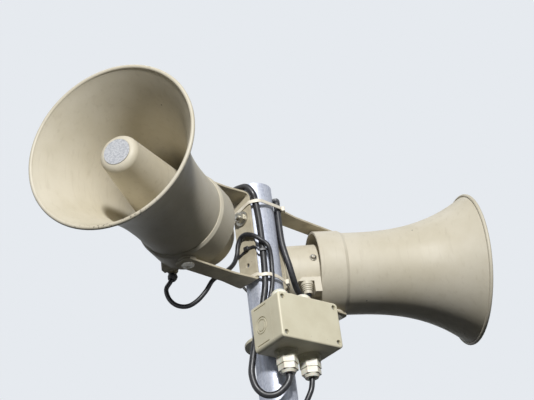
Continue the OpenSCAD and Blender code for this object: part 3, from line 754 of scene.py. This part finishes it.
# Ties: a strap of (direction, metres from the mast's surface, metres below the mast's top) points, drawn out
# of a circle point by point, with a square head
tie = {"thick": 0.0014, "width": 0.0048, "blackWidth": 0.0036, "headDeep": 0.0046, "headWide": 0.0072,
       "headHigh": 1.4, "headEdge": 0.0007, "edge": 0.0003, "overCorner": 0.0006, "overFace": 0.0004,
       "overLead": 0.0005, "leadTurn": 9.5, "leadFall": 0.0009, "overBack": 0.0006}
lead = {"leftRadius": 0.003, "rightRadius": 0.00425, "supplyRadius": 0.0035, "sides": 5}
baseOut = bracket["baseIn"] + bracket["thick"]
cornerTurn = math.degrees(math.atan(bracket["baseWidth"] / 2 / baseOut))
cornerGap = baseOut / math.cos(math.radians(cornerTurn)) - mast["radius"] + tie["overCorner"]
faceGap = baseOut - mast["radius"] + tie["overFace"]
midGap = (faceGap + mast["radius"]) / math.cos(math.radians(cornerTurn / 2)) - mast["radius"]


def overBase(facing, drops):
    # five points over a bracket's base, from corner to corner
    turns = (-cornerTurn, -cornerTurn / 2, 0, cornerTurn / 2, cornerTurn)
    return [(facing + turn, gap, drop) for turn, gap, drop in
            zip(turns, (cornerGap, midGap, faceGap, midGap, cornerGap), drops)]


def overLead(facing, gap, drop):
    # three points over the right lead, the middle one the farthest out
    out = gap + lead["rightRadius"] + tie["overLead"]
    return [(facing + k * tie["leadTurn"], out - abs(k) * tie["leadFall"], drop) for k in (-1, 0, 1)]


def roundBack(drop):
    # the stretch on the mast's back, between the right bracket's base and the left one's
    return [(horn["bracketDir"] + 450 + turn, tie["overBack"], drop) for turn in range(-28, 29, 8)]


def onMast(way):
    return [Matrix.Rotation(math.radians(turn), 3, "Z") @ Vector((mast["radius"] + gap, 0, -drop))
            + Vector((0, 0, mast["top"])) for turn, gap, drop in way]


def strapPiece(node, way, width, material, head, isOpen=False):
    points = onMast(way)
    deselectAll()
    bpy.ops.mesh.primitive_circle_add(vertices=len(points), radius=mast["radius"],
                                      location=(0, 0, mast["top"]))
    piece = bpy.context.active_object
    applyAll(piece)
    for i, point in enumerate(points):
        bpy.ops.object.mode_set(mode="EDIT")
        bpy.ops.mesh.select_mode(type="VERT")
        bpy.ops.mesh.select_all(action="DESELECT")
        bpy.ops.object.mode_set(mode="OBJECT")
        corner = piece.data.vertices[i]
        corner.select = True
        move = point - Vector((0, 0, width / 2)) - corner.co
        bpy.ops.object.mode_set(mode="EDIT")
        bpy.ops.transform.translate(value=move)
    bpy.ops.object.mode_set(mode="OBJECT")
    if isOpen:
        selectEdges(piece, lambda a, b: {a.index, b.index} == {0, len(points) - 1})
        bpy.ops.mesh.delete(type="EDGE")
        bpy.ops.object.mode_set(mode="OBJECT")
    bpy.ops.object.mode_set(mode="EDIT")
    bpy.ops.mesh.select_mode(type="EDGE")
    bpy.ops.mesh.select_all(action="SELECT")
    bpy.ops.mesh.extrude_region_move(TRANSFORM_OT_translate={"value": (0, 0, width)})
    bpy.ops.mesh.select_all(action="SELECT")
    bpy.ops.mesh.normals_make_consistent(inside=False)
    bpy.ops.object.mode_set(mode="OBJECT")
    # the strap thickens away from the mast, whichever way its faces look
    outward = sum(face.normal.dot(Vector((face.center.x, face.center.y, 0))) for face in piece.data.polygons)
    wall = piece.modifiers.new("wall", "SOLIDIFY")
    wall.thickness = tie["thick"]
    wall.offset = 1 if outward > 0 else -1
    wall.use_even_offset = True
    applyAll(piece)
    easeEdges(piece, tie["edge"], 2, 60)
    turn, gap, drop = head
    catch = block("catch", (tie["headDeep"], tie["headWide"], width * tie["headHigh"]),
                  (mast["radius"] + gap + tie["headDeep"] / 2, 0, 0))
    easeEdges(catch, tie["headEdge"], 3)
    catch.matrix_world = (Matrix.Translation((0, 0, mast["top"] - drop))
                          @ Matrix.Rotation(math.radians(turn), 4, "Z"))
    applyAll(catch)
    dress(joined(node + "_drawn", [piece, catch]), material, "mast", node, smooth=40)


leftBase, rightBase = horn["bracketDir"] + 180, horn["bracketDir"] + 360
way = (overBase(leftBase, (.040, .0388, .0376, .0358, .034)) + overLead(276, .0049, .0338)
       + overLead(361.5, .0050, .0325) + overBase(rightBase, (.0355, .0365, .0375, .0382, .0385))
       + roundBack(.041))
strapPiece("upper_tie", way, tie["width"], tieNylon, (361.5, .0105, .0325))
way = (overBase(leftBase, (.1404, .1402, .140, .1402, .1412)) + overLead(276, .0049, .1435)
       + [(292, .0076, .1442), (306, .0060, .1448), (332, .0035, .1455), (347, .0034, .146)]
       + overBase(rightBase, (.1468, .147, .147, .147, .1468)) + roundBack(.1435))
strapPiece("lower_tie", way, tie["width"], tieNylon, (347, .0045, .146))
way = ([(187, .0095, .1055)] + overBase(leftBase, (.104, .102, .0998, .0986, .1005)) + [(264, .0082, .1045)]
       + overLead(276, .0049, .107) + [(291, .0024, .107)])
strapPiece("black_tie", way, tie["blackWidth"], blackNylon, (234, .0041, .0988), isOpen=True)
print("ties drawn")

# Leads: each is drawn through its route, in metres
leftRoute = [
    (-.1147, -.0421, .627), (-.1147, -.0421, .616), (-.119, -.043, .607), (-.125, -.043, .597),
    (-.122, -.043, .583), (-.113, -.043, .573), (-.100, -.043, .570), (-.087, -.043, .576),
    (-.075, -.043, .588), (-.066, -.043, .601), (-.058, -.037, .610), (-.047, -.027, .621),
    (-.037, -.019, .634), (-.0315, -.0155, .648), (-.0285, -.0175, .662), (-.024, -.021, .670),
    (-.018, -.027, .671), (-.011, -.033, .667), (-.0035, -.0365, .661), (.004, -.0365, .654),
    (.0105, -.0365, .646), (.0125, -.032, .634), (.012, -.029, .618), (.011, -.0285, .602),
    (.008, -.029, .586), (.0035, -.0285, .570), (0, -.0277, .554), (-.0005, -.0276, .528)]
rightRoute = [
    (.0563, .0483, .619), (.0563, .0483, .609), (.054, .0445, .6035), (.047, .034, .6025),
    (.0415, .021, .606), (.038, .010, .618), (.035, .0035, .634), (.0315, .001, .652), (.029, 0, .674),
    (.029, 0, .719), (.0295, .001, .729), (.028, .0135, .739), (.0145, .0275, .744), (-.006, .031, .747),
    (-.0235, .021, .748), (-.0313, .002, .747), (-.0275, -.016, .745), (-.017, -.027, .743),
    (-.0075, -.0315, .740), (-.0008, -.0318, .729), (.0012, -.0289, .718), (.003, -.0288, .690),
    (.0033, -.0287, .650), (.002, -.0288, .610), (0, -.0288, .590), (-.005, -.0284, .568),
    (-.0095, -.0285, .545), (-.017, -.0365, .523), (-.022, -.0415, .504), (-.026, -.043, .486),
    (-.029, -.043, .468), (-.0255, -.043, .450), (-.016, -.043, .439), (-.003, -.043, .4375),
    (.008, -.043, .444), (.015, -.043, .453), (.0163, -.043, .461), (.0163, -.043, .471)]
supplyRoute = [
    (.044, -.020, .471), (.044, -.020, .461), (.0415, -.0205, .448), (.036, -.020, .437),
    (.030, -.0185, .427), (.026, -.0155, .414), (.0243, -.0139, .396), (.0243, -.0139, .300),
    (.0243, -.0139, .150), (.0243, -.0139, .002)]


def smoothPath(points, parts=6):
    # a smooth curve that passes through every point of the route
    path = []
    for i in range(len(points) - 1):
        a, b = points[max(i - 1, 0)], points[i]
        c, d = points[i + 1], points[min(i + 2, len(points) - 1)]
        for k in range(parts):
            t = k / parts
            path.append(0.5 * ((2 * b) + (c - a) * t + (2 * a - 5 * b + 4 * c - d) * t * t
                               + (3 * b - a - 3 * c + d) * t ** 3))
    return path + [points[-1]]


def leadPiece(name, route, radius):
    path = smoothPath([Vector(point) for point in route])
    line = bpy.data.curves.new(name, "CURVE")
    line.dimensions = "3D"
    line.bevel_depth = radius
    line.bevel_resolution = lead["sides"]
    line.use_fill_caps = True
    spline = line.splines.new("POLY")
    spline.points.add(len(path) - 1)
    for point, place in zip(spline.points, path):
        point.co = (*place, 1)
    piece = bpy.data.objects.new(name, line)
    bpy.context.scene.collection.objects.link(piece)
    pick(piece)
    bpy.ops.object.convert(target="MESH")
    piece = bpy.context.active_object
    bpy.ops.object.mode_set(mode="EDIT")
    bpy.ops.mesh.select_all(action="SELECT")
    bpy.ops.mesh.remove_doubles(threshold=0.00001)
    bpy.ops.mesh.normals_make_consistent(inside=False)
    bpy.ops.object.mode_set(mode="OBJECT")
    bpy.ops.object.shade_smooth_by_angle(angle=math.radians(50))
    piece.data.materials.clear()
    piece.data.materials.append(blackPvc)
    return piece


piece = leadPiece("left_lead_drawn", leftRoute, lead["leftRadius"])
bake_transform(piece)
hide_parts("left_lead")
piece = leadPiece("right_lead_drawn", rightRoute, lead["rightRadius"])
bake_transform(piece)
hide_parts("right_lead")
piece = leadPiece("supply_lead_drawn", supplyRoute, lead["supplyRadius"])
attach(piece, "mast")
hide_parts("supply_lead")

# Tape wound round the left lead under its gland, leaning with the lead
wrap = {"top": (-0.1147, -0.0421, 0.6165), "bottom": (-0.1176, -0.0427, 0.6095)}
tapeProfile = [(0.0036, 0.0), (0.0062, 0.0), (0.0064, -0.0012), (0.0062, -0.0024), (0.0063, -0.0036),
               (0.0058, -0.0042), (0.0056, -0.0056), (0.0048, -0.0072), (0.0036, -0.0072), (0.0036, 0.0)]
lean = (Vector(wrap["top"]) - Vector(wrap["bottom"])).to_track_quat("Z", "Y").to_matrix().to_4x4()
tape = turned("left_lead_tape", tapeProfile, Matrix.Translation(wrap["top"]) @ lean, 32)
dress(tape, blackTape, "left_horn", smooth=40)
print("leads drawn")

# Camera: the photograph's place and angle, low in front and tilted
camera = {"place": (0.002197, -1.552097, -0.173171), "rise": 30.3326, "turn": 0.5511, "roll": -7.3620,
          "lens": 89.614, "sensor": 36, "near": 0.01, "far": 50}
rise, turn, roll = (math.radians(camera[angle]) for angle in ("rise", "turn", "roll"))
forward = Vector((math.sin(turn) * math.cos(rise), math.cos(turn) * math.cos(rise), math.sin(rise)))
right = Vector((math.cos(turn), -math.sin(turn), 0))
up = right.cross(forward)
across = math.cos(roll) * right + math.sin(roll) * up
upward = -math.sin(roll) * right + math.cos(roll) * up
lens = bpy.data.cameras.new("camera")
lens.lens = camera["lens"]
lens.sensor_fit = "HORIZONTAL"
lens.sensor_width = camera["sensor"]
lens.clip_start = camera["near"]
lens.clip_end = camera["far"]
eye = bpy.data.objects.new("camera", lens)
bpy.context.scene.collection.objects.link(eye)
facing = Matrix((across, upward, -forward)).transposed().to_4x4()
eye.matrix_world = Matrix.Translation(Vector(camera["place"])) @ facing
bpy.context.scene.camera = eye

# Floor at the mast's foot; it starts behind the camera's low place, so that it hides nothing
stage = {"floor": "#dfe2e6", "floorToObject": "#2b2a25", "floorSize": (8, 7, 1), "floorAt": (0, 2.75, 0),
         "backdrop": "#e6eaef", "fill": "#b9c6dc", "fillStrength": 0.03, "aim": (0, 0, 0.6),
         "keyPower": 190, "keySize": 0.35, "keyFrom": (-85, 17, 4.0),
         "topPower": 14, "topSize": 1.6, "topFrom": (120, 65, 3.0)}


def seenDirectly(tree):
    # 1 for what the camera sees, also in a reflection or through glass, 0 for light on the object
    ray = addNode(tree, "LightPath")
    seen = addNode(tree, "Math", {0: ray.outputs["Is Camera Ray"], 1: ray.outputs["Is Glossy Ray"]},
                   operation="MAXIMUM")
    return addNode(tree, "Math", {0: seen, 1: ray.outputs["Is Transmission Ray"]}, operation="MAXIMUM")


deselectAll()
bpy.ops.mesh.primitive_plane_add(size=1, location=stage["floorAt"])
floor = bpy.context.active_object
floor.name = "floor"
floor.scale = stage["floorSize"]
applyAll(floor)
material, tree = newTree("paintedFloor")
tone = addNode(tree, "Mix", {0: seenDirectly(tree), 6: colour(stage["floorToObject"]),
                             7: colour(stage["floor"])}, data_type="RGBA")
surface = addNode(tree, "BsdfDiffuse", {"Color": tone.outputs[2]})
addNode(tree, "OutputMaterial", {"Surface": surface})
floor.data.materials.append(material)

world = bpy.data.worlds.new("studio")
bpy.context.scene.world = world
world.use_nodes = True
tree = world.node_tree
tree.nodes.clear()
fill = addNode(tree, "Background", {"Color": colour(stage["fill"]), "Strength": stage["fillStrength"]})
backdrop = addNode(tree, "Background", {"Color": colour(stage["backdrop"]), "Strength": 1.0})
mixed = addNode(tree, "MixShader", {0: seenDirectly(tree), 1: fill, 2: backdrop})
addNode(tree, "OutputWorld", {"Surface": mixed})


def softbox(name, power, size, fromWhere):
    direction, height, distance = fromWhere
    aim = Vector(stage["aim"])
    turn, tilt = math.radians(direction), math.radians(height)
    level = distance * math.cos(tilt)
    place = aim + Vector((level * math.cos(turn), level * math.sin(turn), distance * math.sin(tilt)))
    light = bpy.data.lights.new(name, "AREA")
    light.energy = power
    light.size = size
    lamp = bpy.data.objects.new(name, light)
    bpy.context.scene.collection.objects.link(lamp)
    lamp.matrix_world = Matrix.Translation(place) @ (place - aim).to_track_quat("Z", "Y").to_matrix().to_4x4()


softbox("keySoftbox", stage["keyPower"], stage["keySize"], stage["keyFrom"])
softbox("topSoftbox", stage["topPower"], stage["topSize"], stage["topFrom"])
bpy.context.scene.view_settings.view_transform = "Standard"
print("stage set")
